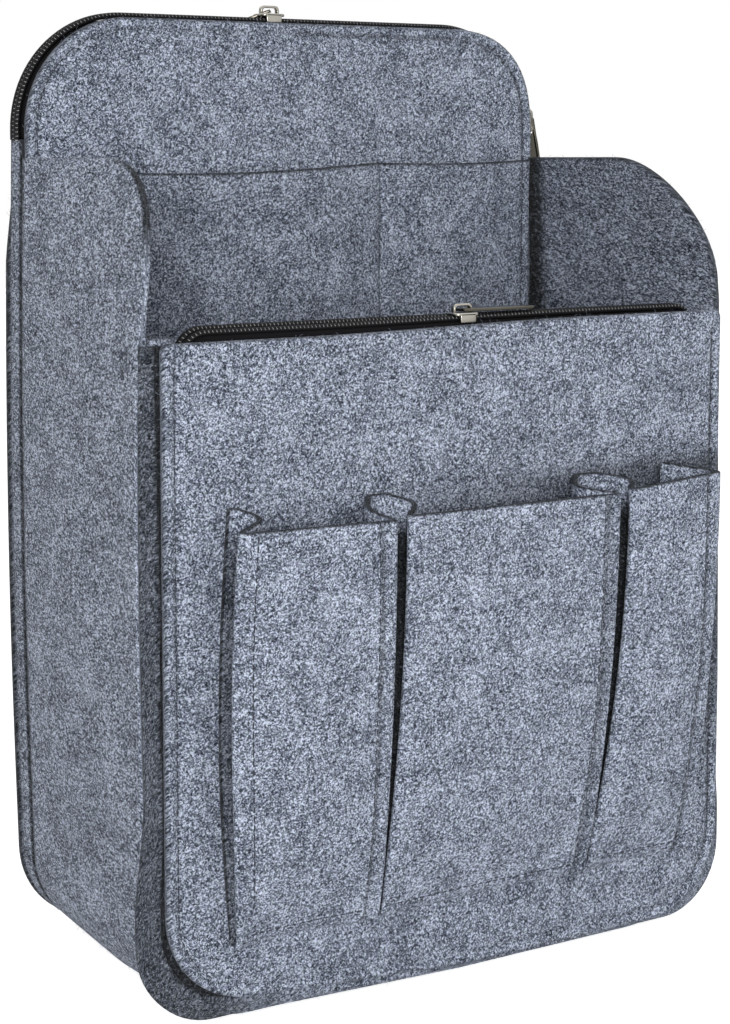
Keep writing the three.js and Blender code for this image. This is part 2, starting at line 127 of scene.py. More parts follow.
def looked_at(start):
    """1 where the camera looks, directly or in a reflection, and 0 for the light that falls on the object."""
    by_camera = start.make("ShaderNodeLightPath", out="Is Camera Ray")
    mirrored = by_camera.math("MAXIMUM", by_camera.output("Is Glossy Ray"))
    return mirrored.math("MAXIMUM", by_camera.output("Is Transmission Ray"))


def shader_inputs(material):
    """The input sockets of a material's shader."""
    return material.node_tree.nodes["Principled BSDF"].inputs


def plain_material(name, colour, roughness, metallic=0.0, specular=0.5):
    """A material of one colour and finish, which nodes may vary later."""
    material = bpy.data.materials.new(name)
    material.use_nodes = True
    shader = shader_inputs(material)
    shader["Base Color"].default_value = (*colour, 1)
    shader["Roughness"].default_value = roughness
    shader["Metallic"].default_value = metallic
    shader["Specular IOR Level"].default_value = specular
    return material


surround_light = 0.46
world = bpy.data.worlds.new("studio")
bpy.context.scene.world = world
world.use_nodes = True
background = world.node_tree.nodes["Background"].inputs
background["Color"].default_value = (1, 1, 1, 1)
surround = looked_at(Wire(world.node_tree)) * (1 - surround_light) + surround_light
surround.feed(background["Strength"])

floor_side, floor_height = 4, -0.0002
floor_corners = [(-1, -1), (1, -1), (1, 1), (-1, 1)]
floor_mesh = bpy.data.meshes.new("floor")
floor_points = [(floor_side * x, floor_side * y, floor_height) for x, y in floor_corners]
floor_mesh.from_pydata(floor_points, [], [(0, 1, 2, 3)])
floor = linked("floor", floor_mesh)
floor_material = plain_material("floor", (0.9, 0.9, 0.9), 0.9, specular=0.1)
floor_shader = shader_inputs(floor_material)
floor_seen = looked_at(Wire(floor_material.node_tree))
floor_glow = floor_seen.make("ShaderNodeCombineColor", {0: floor_seen, 1: floor_seen, 2: floor_seen})
floor_glow.feed(floor_shader["Emission Color"])
floor_shader["Emission Strength"].default_value = 0.78
floor_mesh.materials.append(floor_material)


def soft_light(name, place, size, power):
    """A round soft light, turned toward the part."""
    data = bpy.data.lights.new(name, "AREA")
    data.shape = "DISK"
    data.size = size
    data.energy = power
    lamp = linked(name, data)
    lamp.location = place
    toward = np.array(part_middle) - np.array(place)
    yaw = math.atan2(toward[0], toward[1])
    pitch = math.atan2(-toward[2], math.hypot(toward[0], toward[1]))
    lamp.rotation_euler = (math.radians(90) - pitch, 0, -yaw)


part_middle = (0, 0, 0.18)
soft_light("key", (-1.05, -1.75, 0.46), size=0.7, power=27)
soft_light("fill", (0.9, -1.8, 0.5), size=1.2, power=3)


# Front outer panel: heathered blue-grey felt, cut square at its top and rounded below.
# It is sewn round its edge to the layers behind; the zip is sewn behind its top edge.
def felt_material(name, shade):
    """Felt of matted fibres: pale and dark specks and hairs over a blue-grey ground, darker on cut edges
    and where shade is painted.
    """
    ground = (0.150, 0.174, 0.226)
    material = plain_material(name, ground, 0.95, specular=0.12)
    shader = shader_inputs(material)
    shader["Sheen Weight"].default_value = 0.06
    shader["Sheen Roughness"].default_value = 0.6
    start = Wire(material.node_tree)
    place = start.make("ShaderNodeUVMap", uv_map="felt")

    def specks(to_metre, detail, shift):
        """Even noise about 0, with this many specks to the metre."""
        moved = start.make("ShaderNodeMapping", {"Vector": place, "Location": (shift, -shift, 0)})
        values = {"Vector": moved, "Scale": to_metre, "Detail": detail, "Roughness": 0.6}
        return start.make("ShaderNodeTexNoise", values, noise_dimensions="2D") - 0.5

    def fibres(turn, length, width, shift):
        """Short fibres that lie in one direction, each of one tone, from -0.5 to 0.5."""
        values = {"Vector": place, "Location": (shift, 0.7 * shift, 0),
                  "Rotation": (0, 0, math.radians(turn)), "Scale": (length, width, 1)}
        along = start.make("ShaderNodeMapping", values, vector_type="TEXTURE")
        values = {"Vector": along, "Scale": 1}
        cells = start.make("ShaderNodeTexVoronoi", values, out=1, voronoi_dimensions="2D")
        return start.make("ShaderNodeSeparateColor", {"Color": cells}) - 0.5

    matted = (fibres(30, 0.00064, 0.00038, 0.01) + fibres(-40, 0.00060, 0.00036, 0.03)
              + fibres(80, 0.00055, 0.00042, 0.05))
    coarse = specks(600, 1, 0.3)
    mottle = specks(75, 3, 0.6)
    tint = specks(420, 1, 0.9)
    tone = 0.5 + matted * 0.58 + coarse * 0.25 + mottle * 0.5
    tones = ((0.0, (0.011, 0.015, 0.026)), (0.5, ground), (1.0, (0.62, 0.68, 0.82)))
    stops = [(position, (*(shade * c for c in colour), 1)) for position, colour in tones]
    heather = start.make("ShaderNodeValToRGB", {"Fac": tone}, stops=stops)
    values = {"Hue": 0.5 + tint * 0.05, "Saturation": 1 + tint * 0.25, "Color": heather}
    tinted = start.make("ShaderNodeHueSaturation", values)
    # Darkening read from the mesh: the cut edge's own dark and the painted shade.
    cut_edge_and_shade = start.make("ShaderNodeAttribute", out=2, attribute_name="cut_edge_and_shade")
    values = {"Factor": cut_edge_and_shade * (0.9 + coarse * 0.8), "A": tinted, "B": (0.07, 0.07, 0.065, 1)}
    darkened = start.make("ShaderNodeMix", values, out=2, data_type="RGBA", blend_type="MULTIPLY")
    darkened.feed(shader["Base Color"])
    values = {"Height": matted + coarse + mottle, "Strength": 0.5, "Distance": 0.0004}
    start.make("ShaderNodeBump", values).feed(shader["Normal"])
    return material


felt_body = felt_material("felt", 1.0)
felt_thickness = 0.0032
felt_step = 0.006
seam_inset = 0.0046
lower_radius, upper_radius = 0.034, 0.044
pocket_bottom, pocket_top = 0.032, 0.1885
stitch_lines = []
felt_meshes = []


def row_lengths(points):
    """Distance along each row of a grid of points, from the row's middle."""
    steps = np.linalg.norm(np.diff(points, axis=1), axis=2)
    run = np.concatenate([np.zeros((len(points), 1)), np.cumsum(steps, axis=1)], axis=1)
    return run - run[:, -1:] / 2


def thick_sheet(name, points, gap, place, thickness, seams=(), material=felt_body, painted_shade=0.0, painted_shade_behind=None,
                cut=1.0, folded=False):
    """A closed mesh round a grid of mid-surface points. gap is each point's distance from the cut edge,
    place its position on the flat cut; the felt is rounded at its edge and pinched along its seams.
    It is darker at its cut edge; painted shade darkens the grooves of its seams and wherever it is given,
    on the front and, if given apart, on the back, and its fuzz is left off where shade is painted. On a
    folded sheet the rows' lengths are measured on each face, so that its grain isn't stretched."""
    rows, columns = gap.shape
    normal = np.cross(np.gradient(points, axis=1), np.gradient(points, axis=0))
    normal /= np.linalg.norm(normal, axis=2, keepdims=True)
    round_over = 0.45 * thickness
    near = 1 - np.clip(gap / round_over, 0, 1)
    half = thickness / 2 * (1 - near ** 3) ** (1 / 3)
    cut_edge_and_shade = cut * np.clip(1.5 - 1.5 * gap / (0.9 * round_over), 0, 1)
    turned_in = thickness / 2 - half
    # The dark of each seam is painted shade in its groove.
    for away, pinch, width, dark in seams:
        half = half * (1 - pinch * np.exp(-(away / width) ** 2))
        cut_edge_and_shade = np.maximum(cut_edge_and_shade, dark * np.exp(-(away / (0.7 * width)) ** 2))
    offset = normal * half[:, :, None]
    edge = np.ones((rows, columns), bool)
    edge[1:-1, 1:-1] = False
    front = np.arange(rows * columns).reshape(rows, columns)
    back = front.copy()
    back[~edge] = rows * columns + np.arange((~edge).sum())
    vertices = np.concatenate([(points + offset).reshape(-1, 3), (points - offset)[~edge]])
    faces = []
    for grid, turned in ((front, False), (back, True)):
        quads = np.stack([grid[:-1, :-1], grid[:-1, 1:], grid[1:, 1:], grid[1:, :-1]], axis=2).reshape(-1, 4)
        faces.append(quads[:, ::-1] if turned else quads)
    faces = np.concatenate(faces)
    mesh = bpy.data.meshes.new(name)
    mesh.from_pydata(vertices.tolist(), [], faces.tolist())
    place_front = place + turned_in[:, :, None]
    place_back = place - turned_in[:, :, None] + 0.5 * ~edge[:, :, None]
    if folded:
        place_front[:, :, 0] += row_lengths(points + offset)
        place_back[:, :, 0] += row_lengths(points - offset)
    flat = np.concatenate([place_front.reshape(-1, 2), place_back[~edge]])
    layer = mesh.uv_layers.new(name="felt")
    layer.data.foreach_set("uv", flat[faces.ravel()].astype(np.float32).ravel())
    # Painted shade on the front and back faces; the fuzz is thinned where it is painted.
    behind = painted_shade if painted_shade_behind is None else painted_shade_behind
    sides = [np.broadcast_to(side, cut_edge_and_shade.shape) for side in (painted_shade, behind)]
    dark = [np.maximum(cut_edge_and_shade, side) for side in sides]
    fuzz = [(1 + 2 * cut_edge_and_shade) * np.clip(1 - 1.1 * side, 0, 1) for side in sides]
    for key, (on_front, on_back) in (("cut_edge_and_shade", dark), ("fuzz", fuzz)):
        values = np.concatenate([on_front.ravel(), on_back[~edge]]).astype(np.float32)
        mesh.attributes.new(key, "FLOAT", "POINT").data.foreach_set("value", values)
    mesh.shade_smooth()
    mesh.materials.append(material)
    mesh.validate()
    sheet = linked(name, mesh)
    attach(sheet, "body")
    felt_meshes.append(mesh)
    return sheet, points + offset, normal


def edge_steps(length, spacing):
    """Positions from 0 to a length, close together at both ends and evenly spaced between."""
    ends = np.array([0, 0.04, 0.2, 0.55, 1.0, 1.6, 2.4, 3.2, 3.9, 4.6, 5.3, 6.1, 7.5, 10]) / 1000
    middle = np.linspace(ends[-1], length - ends[-1], max(3, round((length - 2 * ends[-1]) / spacing)))
    return np.concatenate([ends[:-1], middle, length - ends[:-1][::-1]])


def panel_gap(x, z, half, bottom, top, lower, upper):
    """Distance inside a panel's outline with rounded lower and upper corners."""
    across = half - np.abs(x)
    gap = np.minimum(across, np.minimum(z - bottom, top - z))
    for radius, up in ((lower, bottom + lower - z), (upper, z - (top - upper))):
        corner = (across < radius) & (up > 0)
        round_gap = radius - np.hypot(radius - across, up)
        gap = np.where(corner, round_gap, gap)
    return np.maximum(gap, 0)


def panel_grid(half, bottom, top, lower, upper):
    """Rows from the bottom to the top of such a panel, each with its own width."""
    turn = np.radians(np.linspace(0, 90, 19))
    middle = np.linspace(bottom + lower, top - upper, round((top - upper - bottom - lower) / felt_step))
    z = np.concatenate([bottom + lower * (1 - np.cos(turn)), middle[1:-1],
                        top - upper * (1 - np.cos(turn[::-1]))])
    w = np.concatenate([half - lower * (1 - np.sin(turn)), np.full(len(middle) - 2, half),
                        half - upper * (1 - np.sin(turn[::-1]))])
    share = edge_steps(2 * half, felt_step) / (2 * half)
    inset = np.minimum(share, 1 - share) * 2 * half
    inward = w[:, None] - inset * w[:, None] / half
    return np.where(share < 0.5, -inward, inward), np.repeat(z[:, None], len(share), axis=1)


def outline_inside(half, bottom, top, lower, upper, inset):
    """A line at an even distance inside such a panel's outline, from its top left corner down and round."""
    turn = np.radians(np.linspace(0, 90, 19))
    side = half - inset
    low_r, high_r = max(lower - inset, 0.0005), max(upper - inset, 0.0005)
    x = [side - high_r + high_r * np.sin(turn), np.full(40, side), side - low_r + low_r * np.cos(turn)]
    z = [top - inset - high_r + high_r * np.cos(turn),
         np.linspace(top - inset - high_r, bottom + inset + low_r, 42)[1:-1],
         bottom + inset + low_r - low_r * np.sin(turn)]
    x, z = np.concatenate(x), np.concatenate(z)
    return np.concatenate([-x, x[::-1], [-x[0]]]), np.concatenate([z, z[::-1], [z[0]]])


def waves(a, b, size, seed):
    """A slow unevenness of soft felt over two directions, from -size to size."""
    random = np.random.default_rng(seed)
    total = np.zeros_like(a)
    for _ in range(5):
        direction = random.uniform(0, 2 * math.pi)
        length = random.uniform(0.05, 0.14)
        phase = random.uniform(0, 2 * math.pi)
        total += np.sin((a * math.cos(direction) + b * math.sin(direction)) * 2 * math.pi / length + phase)
    return size * total / 3.5


def ease(t):
    """A smooth rise from 0 to 1."""
    t = np.clip(t, 0, 1)
    return t * t * (3 - 2 * t)


def settled(x, z, bottom):
    """Height of the front panel's felt, which hangs lower along its bottom edge toward the right."""
    return z - 0.0075 * np.clip((x + 0.1) / 0.1, 0, 1) * ease(1 - (z - bottom) / 0.08)


def lifted(x, z):
    """How far the felt of the bottom is drawn up off the floor toward the left."""
    return 0.0026 * np.clip((0.005 - x) / 0.083, 0, 1) * ease((0.07 - z) / 0.05)


def bulged(z):
    """How far the soft back stands out sideways at a height."""
    return 0.0022 * np.sin(math.pi * np.clip((z - 0.03) / 0.29, 0, 1))


back_lift = 1.25


def panel(name, node, lower, upper, seed, cut, puff=0.0, drawn_in=0.0, spread=0.0, squared=0.0, shade=None):
    """A flat felt panel in the place of a CAD panel. Its free upper part may be drawn in and its sides
    bulged, its lower right side spread and settled with an uneven top edge, or its upper right corner made
    squarer; painted shade darkens the groove of its edge seam, more on the right. shade gives the painted
    shade on the felt at x and z."""
    low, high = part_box(node)
    half = (high[0] - low[0]) / 2
    thickness = high[1] - low[1]
    outline = (half, low[2], high[2], lower, upper)
    x, z = panel_grid(*outline)
    gap = panel_gap(x, z, *outline)
    middle = (low[1] + high[1]) / 2
    swell = np.clip((gap - seam_inset) / 0.03, 0, 1)
    uneven, uneven_from = 0.0007, 0.02
    y = middle - puff * swell * (2 - swell) + waves(x, z, uneven, seed) * np.clip(gap / uneven_from, 0, 1)

    def hung(x, z):
        """Where a point of the flat panel hangs."""
        free = np.clip((z - 0.270) / 0.045, 0, 1)
        spreading = np.where(x > 0, spread / half * np.clip((0.2 - z) / 0.1, 0, 1), 0)
        wider = 1 - drawn_in * free / half + spreading
        u, v = np.maximum(x - half + upper, 0), np.maximum(z - high[2] + upper, 0)
        fuller = squared * (2 * u * v / (u * u + v * v + 1e-9)) ** 2
        bulge = np.sign(x) * bulged(z) if drawn_in else 0
        if spread:
            near_top = ease(1 - (high[2] - z) / 0.05)
            z = settled(x, z, low[2]) + (0.0012 - 0.0022 * ease((0.06 - x) / 0.13)) * near_top
        rise = back_lift * lifted(x, z) if drawn_in else 0
        return x * wider + u * fuller + bulge, z + rise + v * fuller - drawn_in * free

    hung_x, hung_z = hung(x, z)
    # Painted shade in the edge seam's groove, darker on the right and weaker toward the bottom.
    painted_seam_shade = np.where(x > 0, 0.8, 0.4) * (0.3 + 0.7 * ease((z - low[2] - 0.01) / 0.03))
    sheet, _, _ = thick_sheet(
        name, np.stack([hung_x, y, hung_z], axis=2), gap, np.stack([x + 0.7 * seed, z], axis=2), thickness,
        [(gap - seam_inset, 0.5, 0.0013, painted_seam_shade)], cut=np.where(x > 0.05, 0.5, 1) * cut,
        painted_shade=0.0 if shade is None else shade(x, z), painted_shade_behind=0.0)
    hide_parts(node)
    line_x, line_z = outline_inside(*outline, seam_inset)
    line_y = middle - thickness / 4 + waves(line_x, line_z, uneven, seed) * seam_inset / uneven_from
    line_x, line_z = hung(line_x, line_z)
    line = np.stack([line_x, line_y, line_z], axis=1)
    stitch_lines.append((line, np.tile([0.0, -1.0, 0.0], (len(line), 1))))


def behind_pocket(x, z):
    """The shade on the front panel round the free edge of the right pocket, which stands off it."""
    level = np.clip((z - pocket_bottom) / (pocket_top - pocket_bottom), 0, 1)
    beside = x - 0.107 - 0.018 * (1 - (1 - level) ** 2)
    near_edge = ease((0.2 + beside) / 0.2) * ease(1 - beside / 0.016)
    return 0.75 * ease((level - 0.12) / 0.3) * (z < pocket_top) * near_edge


square_corner = 0.003
panel("front_panel_felt", "front_outer_panel", lower_radius, square_corner, seed=1, cut=0.4, puff=0.0008,
      spread=0.002, shade=behind_pocket)


# Front inner panel and back panel: plain felt sheets, sewn into the gussets round their edges.
# The inner one closes the zipped front pocket; the back one closes the sleeve behind.
panel("inner_panel_felt", "front_inner_panel", 0.0384, square_corner, seed=2, cut=0.5)
panel("back_panel_felt", "back_panel", lower_radius, upper_radius, seed=3, cut=1.0, drawn_in=0.004)


# Divider: the tall felt panel behind the main compartment, rounded at its upper corners.
# It is sewn between the gussets, and the top zip is sewn behind its free edge.
panel("divider_felt", "divider_panel", lower_radius, upper_radius, seed=4, cut=0.6, puff=0.0006, squared=0.08)


# Main gusset: the side walls and the bottom in one strip of felt, wider at its front edge.
# Its front upper corners are cut round; the front edge is sewn to the front pocket, the back to the sleeve.
# The fibres of the gussets are drawn out across the strip.
def trough(depths, halves, ends, radii, bottoms):
    """Rows of points down one side, round the corners, along the bottom and up the other side, one row at
    each depth. Half widths, end heights, corner radii and bottoms are single values or one for each row.
    Gives grids of x, z, the length along the row and the depth."""
    depths, halves, ends, radii, bottoms = np.broadcast_arrays(depths, halves, ends, radii, bottoms)
    length = (ends - radii - bottoms).max()
    ends_close = edge_steps(2 * length, felt_step)
    share = np.append(ends_close[ends_close < length], length) / length
    turn = np.radians(np.linspace(0, 90, 15))[1:-1]
    across = np.linspace(-1, 1, 33)
    x, z = [], []
    for half, end, radius, bottom in zip(halves, ends, radii, bottoms):
        floor_half = half - radius
        side = end - share * (end - radius - bottom)
        corner_x = floor_half + radius * np.cos(turn)
        corner_z = bottom + radius * (1 - np.sin(turn))
        wall = np.full(len(share), half)
        x.append(np.concatenate([-wall, -corner_x, floor_half * across, corner_x[::-1], wall]))
        z.append(np.concatenate([side, corner_z, np.full(len(across), bottom), corner_z[::-1], side[::-1]]))
    x, z = np.array(x), np.array(z)
    return x, z, row_lengths(np.stack([x, z], axis=2)), np.repeat(depths[:, None], x.shape[1], axis=1)


grain_across = 0.55
half_felt = felt_thickness / 2
wall_low, wall_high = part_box("main_gusset")
wall_deep = wall_high[1] - wall_low[1]
wall_top = wall_high[2]
face_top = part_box("front_outer_panel")[1][2]
wall_front_half = wall_high[0]
wall_back_half = 0.1205
wall_radius = 0.048
rise = wall_radius * (1 - np.cos(np.radians(np.linspace(0, 90, 25))))
depth = np.unique(np.concatenate([edge_steps(wall_deep, felt_step), rise]))
depth = depth[np.append(True, np.diff(depth) > 1e-5)]
halves = wall_front_half + (wall_back_half - wall_front_half) * depth / wall_deep - half_felt
under = np.clip(wall_radius - depth, 0, None)
ends = wall_top - wall_radius + np.sqrt(wall_radius ** 2 - under ** 2)
radii = lower_radius - half_felt + 0.008 * np.clip(1 - depth / 0.05, 0, 1)
x, z, along, deep = trough(depth, halves, ends, radii, wall_low[2] + half_felt)
back_share = deep / wall_deep
up = z - (wall_top - wall_radius)
gap = np.minimum(np.minimum(deep, wall_deep - deep), wall_top - z)
rounded = (deep < wall_radius) & (up > 0)
gap = np.maximum(np.where(rounded, np.minimum(wall_radius - np.hypot(wall_radius - deep, up), gap), gap), 0)
free = np.clip((z - face_top) / (wall_top - face_top), 0, 1)
lean = -np.sign(x) * 0.015 * free ** 2 * (1 - back_share)
wobble = waves(deep, z, 0.0009, 5) * ease((z - 0.03) / 0.08) * np.clip(gap / 0.02, 0, 1)
bulging = back_share + (1 - back_share) * ease((0.26 - z) / 0.06) * (x < 0)
flared = 0.0022 * ease((0.31 - z) / 0.06) * ease((z - 0.21) / 0.03) * (1 - back_share) * (x > 0)
points = np.stack([x + lean + wobble + flared + np.sign(x) * bulged(z) * bulging, wall_low[1] + deep,
                   z + lifted(x, z) * (1 + (back_lift - 1) * back_share)], axis=2)
left_cut = ease((z - 0.268) / 0.02) * ease((0.05 - deep) / 0.02)
right_cut = 0.8 * ease((z - 0.2) / 0.05)
# Painted shade: over the right wall's inner face, darkest beside the divider's edge, and in the back seam's
# groove.
inner_shade = np.where(x > 0, 0.22 + 0.9 * (1 - ease((wall_deep - deep - 0.008) / 0.009)), 0)
main_gusset, _, _ = thick_sheet(
    "main_gusset_felt", points, gap, np.stack([along, grain_across * deep], axis=2), felt_thickness,
    [(wall_deep - deep - 0.001, 0.3, 0.0024, 0.75)], painted_shade=inner_shade, painted_shade_behind=0.0,
    cut=np.where(x < 0, left_cut, right_cut))
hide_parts("main_gusset")
np.ptp(along[-1])


# Sleeve gusset: a narrow strip of the same felt round the zipped sleeve behind the divider.
# It is sewn to the main gusset in front and to the back panel behind.
low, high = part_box("sleeve_gusset")
sleeve_deep = high[1] - low[1]
depth = sleeve_deep * (0.5 - 0.5 * np.cos(np.linspace(0, math.pi, 21)))
x, z, along, deep = trough(depth, wall_back_half - half_felt, high[2], lower_radius - half_felt,
                           low[2] + half_felt)
gap = np.maximum(np.minimum(np.minimum(deep, sleeve_deep - deep), high[2] - z), 0)
points = np.stack([x + np.sign(x) * bulged(z), low[1] + deep, z + back_lift * lifted(x, z)], axis=2)
# Painted shade: a little, evenly over the sleeve, and in its back seam's groove.
sleeve, _, _ = thick_sheet("sleeve_gusset_felt", points, gap, np.stack([along, grain_across * deep], axis=2),
                           felt_thickness, [(sleeve_deep - deep, 0.3, 0.0028, 0.9)], painted_shade=0.16)
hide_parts("sleeve_gusset")
np.ptp(along[0])


# Front pocket gusset: the narrow felt band between the front panel and the walls.
# It is pressed in along the front panel's edge and carries painted shade: dark up both sides and round the
# lower left corner, darkest in the crease by the panel's edge, and light along the rest of the bottom, where
# it turns under.
# Low down it bulges out at the sides, past the panel's corners.
low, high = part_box("front_pocket_gusset")
panel_low, panel_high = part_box("front_outer_panel")
band = np.array([0, 0.04, 0.2, 0.5, 0.9, 1.5, 2.2, 3.0, 3.5, 3.8, 4.1, 4.5, 5.2, 6, 6.8, 7.4, 7.8, 8.1,
                 8.2]) / 1000
slope = band / band[-1]
tuck, inside, strip_felt = 0.003, 0.0012, 0.0026
inner_radius, outer_radius = 0.031, 0.027
halves = panel_high[0] - tuck + (high[0] - panel_high[0] + tuck) * slope
bottoms = panel_low[2] + tuck + (low[2] - panel_low[2] - tuck) * slope
radii = inner_radius + (outer_radius - inner_radius) * slope
x, z, along, wide = trough(band, halves - inside, high[2], radii, bottoms + inside)
gap = np.maximum(np.minimum(np.minimum(wide, band[-1] - wide), high[2] - z), 0)
share = wide / band[-1]
z = share * z + (1 - share) * settled(x, z, panel_low[2])
bulge = 0.005 * ease((0.09 - z) / 0.05) * np.where(x < 0, 1 - 0.6 * ease(1 - z / 0.035), 1)
x = x + np.sign(x) * bulge * share * ease(np.abs(x) / 0.05 - 1) - bulged(z) * share * (x < -0.05)
points = np.stack([x, low[1] + (high[1] - low[1]) * share, z + share * lifted(x, z)], axis=2)
steps = np.linalg.norm(np.diff(points, axis=0), axis=2)
across = np.concatenate([np.zeros((1, x.shape[1])), np.cumsum(steps, axis=0)])
crease_end = 0.0049 + 0.0020 * ease((0.16 - z) / 0.06) + 0.15 * bulge
crease = 1 - ease((across - crease_end) / 0.0012)
points[:, :, 1] += 0.0012 * crease * ease(share / 0.2)
side = ease((z - 0.01) / 0.05)
turned = ease((-0.06 - x) / 0.05) * (1 - side) + side
middle_along = np.repeat(along[len(band) // 2][None], len(band), axis=0)
# The painted shade is strongest in the crease, on the sides and toward the outer edge.
strip, _, _ = thick_sheet(
    "front_gusset_felt", points, gap, np.stack([middle_along, across], axis=2), strip_felt,
    painted_shade=(0.70 + 0.12 * share + 0.45 * crease) * (0.15 + 0.85 * turned), cut=0.3)
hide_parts("front_pocket_gusset")
np.ptp(along[-1])


# Bellows pockets: three felt pockets on the front panel, each one sheet with a pleat down each side.
# They are pressed flat and sewn along the bottom; their right-hand edges are topstitched.
pocket_felt = 0.0024
# The same felt painted 7% brighter: painted light on the pockets.
brightened_pocket_felt = felt_material("pocket_felt", 1.07)
panel_front = panel_low[1]
fold_points = 7


def rounded_line(corners, radii, spans):
    """Grid rows along folded lines (levels, corners, xyz), each fold rounded by a curve of its radius."""
    legs = np.linalg.norm(np.diff(corners, axis=1), axis=2)[:, :, None]
    reach = np.reshape(radii, (1, -1, 1))
    folds = corners[:, 1:-1]
    into = folds + (corners[:, :-2] - folds) * (np.minimum(reach, 0.45 * legs[:, :-1]) / legs[:, :-1])
    onward = folds + (corners[:, 2:] - folds) * (np.minimum(reach, 0.45 * legs[:, 1:]) / legs[:, 1:])
    starts = np.concatenate([corners[:, :1], onward], axis=1)
    stops = np.concatenate([into, corners[:, -1:]], axis=1)
    round_fold = np.linspace(0, 1, fold_points + 2)[1:-1, None]
    pieces = []
    for i, span in enumerate(spans):
        start, stop, t = starts[:, i:i + 1], stops[:, i:i + 1], span[:, None]
        pieces.append(start * (1 - t) + stop * t)
        if i < len(radii):
            fold, t = folds[:, i:i + 1], round_fold
            pieces.append(stop * (1 - t) ** 2 + 2 * fold * t * (1 - t) + onward[:, i:i + 1] * t ** 2)
    return np.concatenate(pieces, axis=1)


